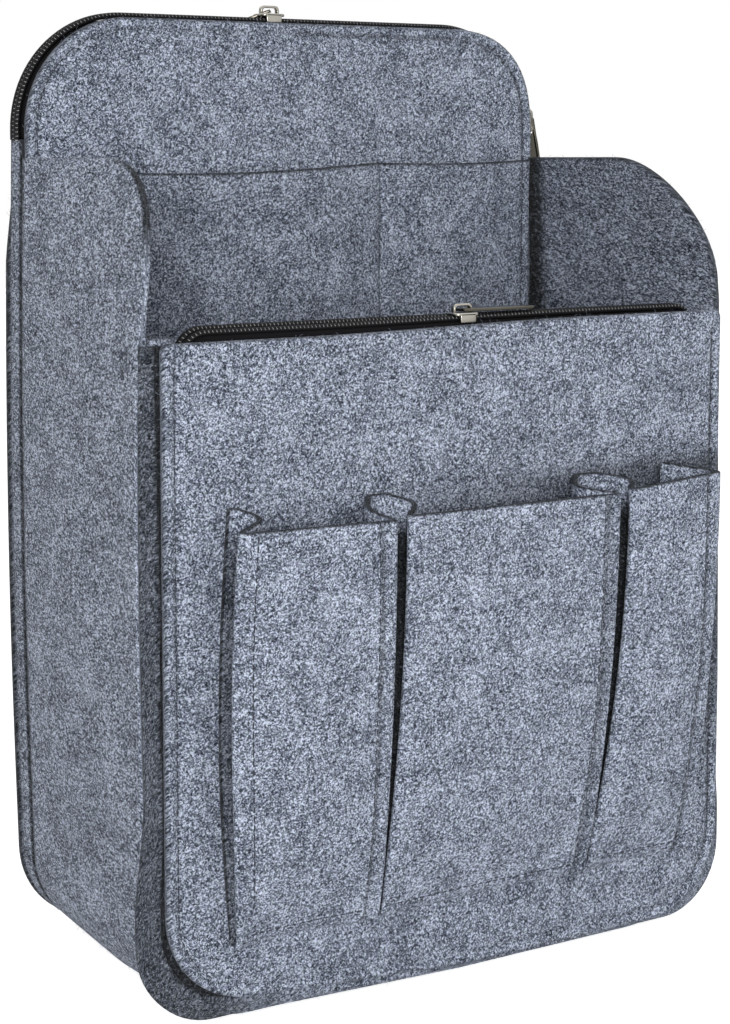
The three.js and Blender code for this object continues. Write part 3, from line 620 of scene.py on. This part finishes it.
def bellows(name, seams, face, folds, drops, joined, seed, tucked=0.5, bow=0.0):
    """One pocket: positions along X of its seams, face edges and inner folds, and how far its face's ends
    drop, in millimetres. Where it is joined to the next pocket, the felt runs on at that seam. tucked is the
    share of the pocket's depth at which the right pleat folds; a small one lets the pleat lie on the panel
    behind the face. bow is how far, in metres, a left side that is topstitched too bows out."""
    tall = pocket_top - pocket_bottom
    rest, mouth, foot = 0.0015, 0.0171, 0.0049
    left_seam, right_seam = 0.0045, 0.0062
    level = edge_steps(tall, 0.005) / tall
    opened = 1 - (1 - level) ** 2
    out = foot + (mouth - foot) * opened
    seams, face, folds, drops = (np.array(v) / 1000 for v in (seams, face, folds, drops))
    edges = seams[:, None] + (face - seams)[:, None] * np.stack([opened ** (3 if bow else 1), opened])
    feet = seams + np.array([0.004, -0.004])
    inner = feet[:, None] + (folds - feet)[:, None] * opened
    swing = np.sin(math.pi * level)
    edges[0] -= bow * swing
    seam_left = seams[0] - bow * swing

    def corner(across, forward, drop):
        height = pocket_bottom + (pocket_top - drop - pocket_bottom) * level
        return np.stack([across, panel_front - forward, height], axis=1)

    flat = np.ones_like(level)
    dropped = 0.0028 * (0.5 - tucked) / 0.5
    lying = 0.35 * (inner - np.stack([seam_left, seams[1] * flat]))
    corners = np.stack([
        corner(seam_left, rest * flat, 0),
        corner(seam_left + lying[0], rest + 0.0002 * flat, 0),
        corner(inner[0], (rest + out) / 2, drops[0] / 2),
        corner(edges[0], out, drops[0]),
        corner(edges[1], out, drops[1]),
        corner(inner[1], rest + tucked * (out - rest), drops[1] / 2 - dropped),
        corner(seams[1] + lying[1], rest + 0.0002 * flat, 3 * dropped),
        corner(seams[1] * flat, rest * flat, 3 * dropped),
    ], axis=1)
    short = np.linspace(0, 1, 8)
    width = face[1] - face[0]
    fine = np.array([-1.8, -0.9, -0.4, 0, 0.4, 0.9, 1.8]) / 1000
    stitched = np.array([left_seam + fine, width - right_seam + fine]).ravel() / width
    across = np.unique(np.concatenate([np.linspace(0, 1, 23), stitched]))
    first = edge_steps(0.03, 0.003)[:10] / 0.012
    first = np.append(first[first < 0.9], 1)
    points = rounded_line(corners, (0.0022, 0.0055, 0.0030, 0.0016, 0.011 * tucked, 0.0022),
                          (first, short, short, across, short, short, 1 - first[::-1]))
    face_width = (edges[1] - edges[0])[:, None]
    x_share = (points[:, :, 0] - edges[0][:, None]) / face_width
    on_face = np.zeros(points.shape[1], bool)
    first_face = len(first) + 2 * len(short) + 3 * fold_points
    on_face[first_face:first_face + len(across)] = True
    belly = np.sin(math.pi * np.clip(x_share, 0, 1)) ** 0.8 * on_face
    sag = (foot - rest) * np.clip(1 - level / 0.3, 0, 1)[:, None] ** 2 * belly
    swell = 0.0022 * np.sin(math.pi * level ** 0.8)[:, None] * belly
    uneven = waves(points[:, :, 0], points[:, :, 2], 0.0009, seed) * ease(level * 5)[:, None] * belly
    sink = 0.0016 * (1 - np.clip(level * tall / 0.004, 0, 1))[:, None]
    points[:, :, 1] += sag - swell + uneven + sink
    run = row_lengths(points)
    rise = np.repeat((level * tall)[:, None], points.shape[1], axis=1)
    gap = np.minimum(rise, tall - rise)
    for from_seam, runs_on in zip((run - run[:, :1], run[:, -1:] - run), joined):
        gap = gap if runs_on else np.minimum(gap, from_seam)
    pressed = pocket_felt * (0.5 + 0.5 * ease(level / 0.16))[:, None]
    from_left = x_share * face_width
    # The dark of the topstitched creases is painted shade in their grooves.
    creases = [(np.where(on_face, face_width - from_left - right_seam, 1), 0.4, 0.0010, 0.75)]
    if bow:
        creases.append((np.where(on_face, from_left, 1) - left_seam, 0.25, 0.0012, 0.4))
    place = np.stack([np.full_like(rise, 0.3 * seed), rise], axis=2)
    # Painted shade on the pleats' hidden layers, so the gaps between pockets look dark; it fades out toward
    # the mouth and is weaker on the left pocket's outer pleat.
    pleat = np.where(np.arange(points.shape[1]) < first_face, 0.65 if bow else 1.25, 1.25)
    pleat[first_face - 5:first_face + len(across) + 5] = 0
    shade = pleat * ease((pocket_top - 0.007 - points[:, :, 2]) / 0.010)
    pocket, front, normal = thick_sheet(name + "_felt", points, gap, place, pressed, creases, brightened_pocket_felt,
                                        shade, folded=True)
    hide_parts(name)
    rows = slice(14, -3)
    for seam_at in (width - right_seam, left_seam) if bow else (width - right_seam,):
        column = first_face + np.argmin(np.abs(across - seam_at / width))
        stitch_lines.append((front[rows, column], normal[rows, column]))
    face_columns = slice(first_face + 3, first_face + len(across) - 3)
    foot_row = np.argmin(np.abs(level * tall - 0.005))
    stitch_lines.append((front[foot_row, face_columns], normal[foot_row, face_columns]))


bellows("pocket_left", seams=(-101.25, -40.8), face=(-105.75, -41.75), folds=(-91, -49), drops=(6, 7.2),
        joined=(False, True), seed=11, bow=0.004)
bellows("pocket_middle", seams=(-40.8, 54.5), face=(-36.5, 59.75), folds=(-27, 44), drops=(6, 6),
        joined=(True, True), seed=12)
bellows("pocket_right", seams=(54.5, 106), face=(65.5, 109.75), folds=(73.5, 93), drops=(5.1, 1.5),
        joined=(True, False), seed=13, tucked=0.08)


# Slip pocket: one felt sheet on the divider, sewn at its sides, its bottom and one line that splits it.
# Both mouths stand a little open; the wider one sags beside the split.
low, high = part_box("divider_pocket")
divider_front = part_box("divider_panel")[0][1]
split = 0.038
half = high[0]
tall = high[2] - low[2]
fine = np.array([-2, -1, -0.5, 0, 0.5, 1, 2]) / 1000
across = np.unique(np.concatenate([edge_steps(2 * half, felt_step) - half, split + fine]))
level = edge_steps(tall, felt_step) / tall
x = np.repeat(across[None, :], len(level), axis=0)
left_share = np.clip((x + half) / (split + half), 0, 1)
right_share = np.clip((x - split) / (half - split), 0, 1)
belly = np.sin(math.pi * left_share ** 1.5) ** 0.8 * 0.0058 + np.sin(math.pi * right_share) ** 0.8 * 0.0036
sagging = 0.0026 * np.sin(math.pi * left_share) ** 1.2 + 0.0009 * np.sin(math.pi * right_share)
rim_height = high[2] + 0.0022 + 0.016 * x
up = np.repeat(level[:, None], len(across), axis=1)
z = low[2] + (rim_height - low[2] - sagging) * up
stand = 0.0021 + belly * up ** 1.6
y = divider_front - stand + waves(x, z, 0.0006, 21) * up * np.clip(belly / 0.003, 0, 1)
gap = np.minimum(np.minimum(x + half, half - x), np.minimum(up, 1 - up) * tall)
# Painted shade: a little over the whole sheet, more toward the left and below the mouth, and in its seams'
# grooves.
slip, slip_front, slip_normal = thick_sheet(
    "slip_pocket_felt", np.stack([x, y, z], axis=2), gap, np.stack([x + 0.9, z], axis=2), felt_thickness,
    [(x - split, 0.45, 0.0010, 0.6), (half - np.abs(x) - seam_inset, 0.3, 0.0010, 0.5)],
    painted_shade=0.06 + 0.28 * ease((-0.02 - x) / 0.06) * ease((0.31 - z) / 0.03))
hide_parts("divider_pocket")
for seam_at in (split, seam_inset - half, half - seam_inset):
    column = np.argmin(np.abs(across - seam_at))
    stitch_lines.append((slip_front[3:, column], slip_normal[3:, column]))


# Fuzz: loose fibres of the felt that stand off its faces and its cut edges.
# They are short bent hairs, scattered over every felt sheet, denser on the edges and left off where shade is
# painted.
def scattered(name, mesh, size_name, size_kind, size, material, bodies):
    """One plain mesh of what a node tree sets on a mesh. bodies adds the nodes that make the instances,
    from the mesh and the tree's one size."""
    tree = bpy.data.node_groups.new(name, "GeometryNodeTree")
    tree.interface.new_socket("Places", in_out="INPUT", socket_type="NodeSocketGeometry")
    size_input = tree.interface.new_socket(size_name, in_out="INPUT", socket_type=size_kind)
    tree.interface.new_socket("Bodies", in_out="OUTPUT", socket_type="NodeSocketGeometry")
    given = Wire(tree).make("NodeGroupInput")
    whole = given.make("GeometryNodeRealizeInstances", {"Geometry": bodies(given, given.output(1))})
    coloured = given.make("GeometryNodeSetMaterial", {"Geometry": whole, "Material": material})
    coloured.feed(tree.nodes.new("NodeGroupOutput").inputs[0])
    holder = linked(name + "_places", mesh)
    modifier = holder.modifiers.new(name, "NODES")
    modifier.node_group = tree
    modifier[size_input.identifier] = size
    baked = bpy.data.meshes.new_from_object(holder.evaluated_get(bpy.context.evaluated_depsgraph_get()))
    bpy.data.objects.remove(holder)
    baked.name = name
    item = linked(name, baked)
    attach(item, "body")
    return item


def grown(name, mesh, to_square_metre, seed, material):
    """Hairs scattered over a felt mesh, this many to the square metre, times the mesh's own fuzz."""
    def hairs(felt, amount):
        fuzz = felt.make("GeometryNodeInputNamedAttribute", {"Name": "fuzz"}, data_type="FLOAT")
        values = {"Mesh": felt, "Density": amount * fuzz, "Seed": seed}
        spread = felt.make("GeometryNodeDistributePointsOnFaces", values)
        bend = {"Start": (0, 0, -0.0001), "Middle": (0.0004, 0, 0.0006), "End": (0.0015, 0, 0.0005)}
        hair = felt.make("GeometryNodeCurveQuadraticBezier", {"Resolution": 3, **bend})
        ring = felt.make("GeometryNodeCurvePrimitiveCircle", {"Resolution": 3, "Radius": 0.000035})
        body = felt.make("GeometryNodeCurveToMesh", {"Curve": hair, "Profile Curve": ring})
        values = {0: (-0.5, -0.5, 0), 1: (0.5, 0.5, 2 * math.pi), "Seed": seed}
        spin = felt.make("FunctionNodeRandomValue", values, data_type="FLOAT_VECTOR")
        turn = felt.make("FunctionNodeEulerToRotation", {0: spin})
        values = {0: spread.output("Rotation"), 1: turn}
        lying = felt.make("FunctionNodeRotateRotation", values, rotation_space="LOCAL")
        values = {2: 0.5, 3: 1.5, "Seed": seed + 1}
        length = felt.make("FunctionNodeRandomValue", values, out=1, data_type="FLOAT")
        values = {"Points": spread, "Instance": body, "Rotation": lying, "Scale": length}
        return felt.make("GeometryNodeInstanceOnPoints", values)

    item = scattered(name, mesh, "To square metre", "NodeSocketFloat", to_square_metre, material, hairs)


loose_fibre = plain_material("loose_fibre", (0.30, 0.34, 0.42), 0.9, specular=0.1)
hairs_to_square_metre = 26000.0
for seed, mesh in enumerate(felt_meshes):
    grown(mesh.name + "_fuzz", mesh, hairs_to_square_metre, seed, loose_fibre)


# Zip tapes: black woven tape, one on each side of a zip's chain.
# Each lies flat under the chain, bends down at its outer side and is sewn behind the edge of the felt.
tape_black = plain_material("zip_tape", (0.006, 0.006, 0.007), 0.9, specular=0.1)
tape_thickness, tape_bend, tape_hang = 0.0007, 0.0012, 0.006
front_zip_crest = 0.2485
top_zip_half, top_zip_crest, top_zip_radius = 0.119, 0.3615, 0.043


def arch(half, end, crest, radius):
    """A zip's line, up one side, round two corners and down the other: x, z and its outward normal."""
    turn = np.radians(np.linspace(180, 90, 25))[1:]
    side = np.linspace(end, crest - radius, 4)
    left_x = np.concatenate([np.full(len(side), -half), -half + radius + radius * np.cos(turn)])
    left_z = np.concatenate([side, crest - radius + radius * np.sin(turn)])
    left_angle = np.concatenate([np.full(len(side), math.pi), turn])
    top = np.linspace(-half + radius, half - radius, 60)[1:-1]
    x = np.concatenate([left_x, top, -left_x[::-1]])
    z = np.concatenate([left_z, np.full(len(top), crest), left_z[::-1]])
    angle = np.concatenate([left_angle, np.full(len(top), math.pi / 2), math.pi - left_angle[::-1]])
    return x, z, np.cos(angle), np.sin(angle)


def tipped(x):
    """How far the front zip's outer side hangs below its inner one, more toward the left."""
    return 0.0012 * ease((0.06 - x) / 0.13)


zips = {}
for name, sides, half, end, crest, radius in (
        ("front", ("outer", "inner"), 0.114, 0.239, front_zip_crest, 0.009),
        ("top", ("front", "back"), top_zip_half, 0.3148, top_zip_crest, top_zip_radius)):
    nodes = [f"{name}_zip_tape_{side}" for side in sides]
    front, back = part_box(nodes[0])[0][1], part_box(nodes[1])[1][1]
    middle = (front + back) / 2
    reach = (back - front) / 2 - tape_thickness / 2
    x, z, nx, nz = arch(half, end, crest, radius)
    zips[name] = (sides, x, z, nx, nz, middle)
    run = np.concatenate([[0], np.cumsum(np.hypot(np.diff(x), np.diff(z)))])
    bend = np.radians(np.linspace(0, 90, 6))[1:]
    flat = reach - tape_bend
    away = np.concatenate([np.linspace(0.001, flat, 6), flat + tape_bend * np.sin(bend), np.full(6, reach)])
    hanging = np.linspace(tape_bend, tape_hang, 7)[1:]
    down = np.concatenate([np.zeros(6), tape_bend * (1 - np.cos(bend)), hanging]) + tape_thickness / 2
    place = np.stack(np.broadcast_arrays(run[None], (away + down)[:, None]), axis=2)
    for sign, side, node in zip((-1, 1), sides, nodes):
        drop = np.outer(away / reach, tipped(x)) if side == "outer" else 0
        tape_x, tape_z = x - np.outer(down, nx), z - np.outer(down, nz) - drop
        tape_y = (middle + sign * away)[:, None]
        points = np.stack(np.broadcast_arrays(tape_x, tape_y, tape_z), axis=2)
        if sign < 0:
            points = points[::-1]
        edge = np.zeros(points.shape[:2])
        edge[1:-1, 1:-1] = 0.01
        tape, _, _ = thick_sheet(node + "_cloth", points, edge, place, tape_thickness, material=tape_black)
        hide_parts(node)


# Zip coils: black nylon coils, one along the inner edge of each tape, whose loops alternate.
# A coil is a core with slanted loops round it, repeated along the zip at the coil's pitch; the loops are
# pale grey, a painted highlight on the black coil.
def repeated(name, points, along, out, size, material):
    """Small rounded bodies placed at points, their X along one direction and their Z along another."""
    places = bpy.data.meshes.new(name + "_places")
    places.from_pydata(np.asarray(points).tolist(), [], [])
    for key, values in (("along", along), ("out", out)):
        layer = places.attributes.new(key, "FLOAT_VECTOR", "POINT")
        layer.data.foreach_set("vector", np.asarray(values, np.float32).ravel())

    def bodies(given, size):
        vectors = [given.make("GeometryNodeInputNamedAttribute", {"Name": key}, data_type="FLOAT_VECTOR")
                   for key in ("along", "out")]
        values = dict(enumerate(vectors))
        turn = given.make("FunctionNodeAxesToRotation", values, primary_axis="X", secondary_axis="Z")
        cube = given.make("GeometryNodeMeshCube", {"Size": (2.0, 2.0, 2.0)})
        ball = given.make("GeometryNodeSubdivisionSurface", {"Mesh": cube, "Level": 1})
        smooth = given.make("GeometryNodeSetShadeSmooth", {"Geometry": ball})
        values = {"Points": given, "Instance": smooth, "Rotation": turn, "Scale": size}
        return given.make("GeometryNodeInstanceOnPoints", values)

    return scattered(name, places, "Size", "NodeSocketVector", size, material, bodies)


def spaced(line, normals, pitch, lead=0.5):
    """Points at an even pitch along a line, with the direction of the line and the normal at each."""
    run = np.concatenate([[0], np.cumsum(np.linalg.norm(np.diff(line, axis=0), axis=1))])
    at = np.arange(lead * pitch, run[-1], pitch)

    def found(values, where):
        return np.stack([np.interp(where, run, values[:, k]) for k in range(3)], axis=1)

    along = found(line, at + 0.0004) - found(line, at - 0.0004)
    return found(line, at), along / np.linalg.norm(along, axis=1, keepdims=True), found(normals, at)


def swept(name, line, normals, wide, high, material):
    """A rounded rib along a line, wide across it and high along its normals."""
    ahead = np.gradient(line, axis=0)
    across = np.cross(normals, ahead / np.linalg.norm(ahead, axis=1, keepdims=True))
    turn = np.linspace(0, 2 * math.pi, 12, endpoint=False)
    rings = (line[:, None] + across[:, None] * (wide * np.cos(turn))[None, :, None]
             + normals[:, None] * (high * np.sin(turn))[None, :, None])
    count, sides = rings.shape[:2]
    index = np.arange(count * sides).reshape(count, sides)
    onward = np.roll(index, -1, axis=1)
    faces = np.stack([index[:-1], onward[:-1], onward[1:], index[1:]], axis=2).reshape(-1, 4).tolist()
    faces += [index[0, ::-1].tolist(), index[-1].tolist()]
    mesh = bpy.data.meshes.new(name)
    mesh.from_pydata(rings.reshape(-1, 3).tolist(), [], faces)
    mesh.shade_smooth()
    mesh.materials.append(material)
    rib = linked(name, mesh)
    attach(rib, "body")
    return rib


coil_black = plain_material("zip_coil", (0.006, 0.006, 0.007), 0.6, specular=0.15)
# Pale grey loops: a painted highlight on each turn of the coil.
coil_painted_highlight = plain_material("zip_coil_loops", (0.38, 0.38, 0.39), 0.35)
coil_pitch, coil_rise, coil_aside = 0.0016, 0.0014, 0.0016
loop_size = (0.0020, 0.00034, 0.0010)
for name, (sides, x, z, nx, nz, middle) in zips.items():
    normals = np.stack([nx, np.zeros_like(nx), nz], axis=1)
    for sign, side in zip((-1, 1), sides):
        node = f"{name}_zip_coil_{side}"
        drop = tipped(x) if side == "outer" else 0
        line = np.stack([x + nx * coil_rise, np.full_like(x, middle + sign * coil_aside),
                         z + nz * coil_rise - drop], axis=1)
        core = swept(node + "_core", line, normals, 0.0014, 0.00115, coil_black)
        points, along, out = spaced(line, normals, coil_pitch, 0.25 if sign < 0 else 0.75)
        slanted, leaning = np.cross(out, along) + 0.45 * along, out - 0.5 * along
        loops = repeated(node + "_loops", points + 0.0003 * out, slanted, leaning, loop_size, coil_painted_highlight)
        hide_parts(node)


# Zip sliders and pull tabs: cast metal with rounded rims, the sliders nickel and the tabs darker.
# A slider is two plates joined by a web, with lips round the chain and a crown that holds the tab by its eye.
# A slider's own X runs along the zip toward its tab, and its own Z out of the zip; sizes in millimetres.
def bevelled(outlines, thickness, bevel, turned=False):
    """A plate cut to closed outlines, with rounded rims, centred on its XY plane; turned, on its XZ plane."""
    curve = bpy.data.curves.new("plate", "CURVE")
    curve.dimensions = "2D"
    curve.fill_mode = "BOTH"
    curve.extrude = thickness / 2 - bevel
    curve.bevel_depth = bevel
    curve.bevel_resolution = 2
    curve.offset = -bevel
    for outline in outlines:
        spline = curve.splines.new("POLY")
        spline.points.add(len(outline) - 1)
        for point, (u, v) in zip(spline.points, outline):
            point.co = (u, v, 0, 1)
        spline.use_cyclic_u = True
    holder = linked("plate", curve)
    plate = bpy.data.meshes.new_from_object(holder.evaluated_get(bpy.context.evaluated_depsgraph_get()))
    bpy.data.objects.remove(holder)
    if turned:
        plate.transform(Matrix.Rotation(math.radians(90), 4, "X"))
    return plate


def cast(body, pieces, place, material):
    """One metal body from several plates, each shifted in it, set in its place on a zip."""
    shape = bmesh.new()
    for plate, shift in pieces:
        plate.transform(Matrix.Translation(shift))
        shape.from_mesh(plate)
        bpy.data.meshes.remove(plate)
    bmesh.ops.remove_doubles(shape, verts=shape.verts, dist=0.001)
    mesh = bpy.data.meshes.new(body + "_metal")
    shape.to_mesh(mesh)
    shape.free()
    mesh.transform(place)
    mesh.shade_smooth()
    mesh.set_sharp_from_angle(angle=math.radians(40))
    mesh.materials.append(material)
    item = linked(body + "_metal", mesh)
    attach(item, body)
    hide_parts(body)


def rounded_box(length, width, corner):
    """The outline of a rectangle with round corners."""
    points = []
    for k, (sx, sy) in enumerate(((1, 1), (-1, 1), (-1, -1), (1, -1))):
        for angle in np.radians(np.linspace(90 * k, 90 * k + 90, 7)):
            points.append((sx * (length / 2 - corner) + corner * math.cos(angle),
                           sy * (width / 2 - corner) + corner * math.sin(angle)))
    return points


def bent(reach, height, corner):
    """The outline of an arch's outer or inner side, from its right foot over to its left foot."""
    turn = np.radians(np.linspace(0, 90, 7))
    right = [(reach - corner + corner * math.cos(a), height - corner + corner * math.sin(a)) for a in turn]
    return [(reach, 0), *right, *((-u, v) for u, v in reversed(right)), (-reach, 0)]


def metal(name, side, top):
    """Plating with a painted reflection: its colour is brighter where it faces up."""
    material = plain_material(name, side, 0.2, metallic=1.0)
    start = Wire(material.node_tree)
    normal = start.make("ShaderNodeNewGeometry", out=1)
    upward = start.make("ShaderNodeSeparateXYZ", {0: normal}, out=2)
    values = {"Factor": upward.ramp(0, 0.95), "A": (*side, 1), "B": (*top, 1)}
    plating_with_painted_reflection = start.make("ShaderNodeMix", values, out=2, data_type="RGBA")
    plating_with_painted_reflection.feed(shader_inputs(material)["Base Color"])
    return material


# Nickel and dark nickel, each with the painted reflection on faces that look up.
nickel = metal("nickel", (0.24, 0.23, 0.205), (0.66, 0.64, 0.59))
dark_nickel = metal("dark_nickel", (0.06, 0.056, 0.046), (0.20, 0.19, 0.16))
slider_length, plate_half, plate_thick, plate_top = 11, 4.5, 1.2, 4.4
lower_width, lower_height = 6.4, -1.8
lip_thick, lip_tall, lip_height = 1, 3.6, 2.4
tab_length, tab_half, tab_thick, eye_half = 33, 3.5, 1.2, 3.2
neck, shoulder = 7, 10


def slider(name, point, along, out, sunk, hinge, droop=0, aside=0):
    """A slider at a point of a zip, sunk into it, and its tab. The tab's hinge has its own height, and the
    tab may droop toward the zip and turn aside, in degrees."""
    axes = np.column_stack([along, np.cross(out, along), out, point]).tolist()
    place = Matrix(axes + [[0, 0, 0, 1]]) @ Matrix.Scale(0.001, 4) @ Matrix.Translation((0, 0, -sunk))
    upper = bevelled([rounded_box(slider_length, 2 * plate_half, 2.2)], plate_thick, 0.4)
    lower = bevelled([rounded_box(slider_length, lower_width, 2.2)], plate_thick, 0.35)
    web = bevelled([rounded_box(3.5, 0.6, 0.25)], 6.2, 0.05)
    crown = bevelled([bent(4.3, 3.4, 1.8) + bent(3.2, 2.4, 1.2)[::-1]], 2.0, 0.35, turned=True)
    pieces = [(upper, (0, 0, plate_top - plate_thick / 2)), (lower, (0, 0, lower_height)),
              (web, (2.25, 0, 1))]
    for sign in (1, -1):
        lip = bevelled([rounded_box(slider_length - 4, lip_thick, 0.4)], lip_tall, 0.3)
        pieces.append((lip, (0, sign * (plate_half - lip_thick / 2), lip_height)))
    pieces.append((crown, (0, 0, plate_top - 0.1)))
    cast(name + "_slider", pieces, place, nickel)
    turn = np.radians(np.linspace(-90, 90, 13))
    tip = [(tab_length - tab_half + tab_half * math.cos(a), tab_half * math.sin(a)) for a in turn]
    outline = [(-0.8, 0.6 - eye_half), (-0.2, -eye_half), (neck, -eye_half), (shoulder, -tab_half), *tip,
               (shoulder, tab_half), (neck, eye_half), (-0.2, eye_half), (-0.8, eye_half - 0.6)]
    eye = [(u + 3.5, v) for u, v in rounded_box(5.4, 3.4, 1.0)]
    tab = bevelled([outline, eye[::-1]], tab_thick, 0.3)
    tab.transform(Matrix.Rotation(math.radians(aside), 4, "Z") @ Matrix.Rotation(math.radians(droop), 4, "Y"))
    cast(name + "_pull", [(tab, (0, 0, hinge))], place, dark_nickel)


front_middle, top_middle = zips["front"][-1], zips["top"][-1]
side_turn = math.radians(7)
side_out = (math.cos(side_turn), 0, math.sin(side_turn))
side_point = (top_zip_half - top_zip_radius + top_zip_radius * side_out[0], top_middle,
              top_zip_crest - top_zip_radius + top_zip_radius * side_out[2])
slider("front", (0.004, front_middle, front_zip_crest), (1, 0, 0), (0, 0, 1), sunk=1.5, hinge=5.3)
slider("top", (-0.008, top_middle, top_zip_crest), (-1, 0, 0), (0, 0, 1), sunk=0.1, hinge=5.3, droop=20,
       aside=-35)
slider("side", side_point, (side_out[2], 0, -side_out[0]), side_out, sunk=0, hinge=5.8, droop=-4)


# Stitching: rows of dark tonal thread along the seams of the panels and pockets.
# The stitches are all of one length, and each is sunk a little into the felt.
thread = plain_material("thread", (0.035, 0.038, 0.048), 0.8, specular=0.2)
stitch_pitch, stitch_sunk = 0.0034, 0.00012
stitch_size = (0.0019, 0.00042, 0.00036)
rows = [spaced(line, normals, stitch_pitch) for line, normals in stitch_lines]
points, along, out = (np.concatenate(values) for values in zip(*rows))
stitches = repeated("stitches", points - out * stitch_sunk, along, out, stitch_size, thread)
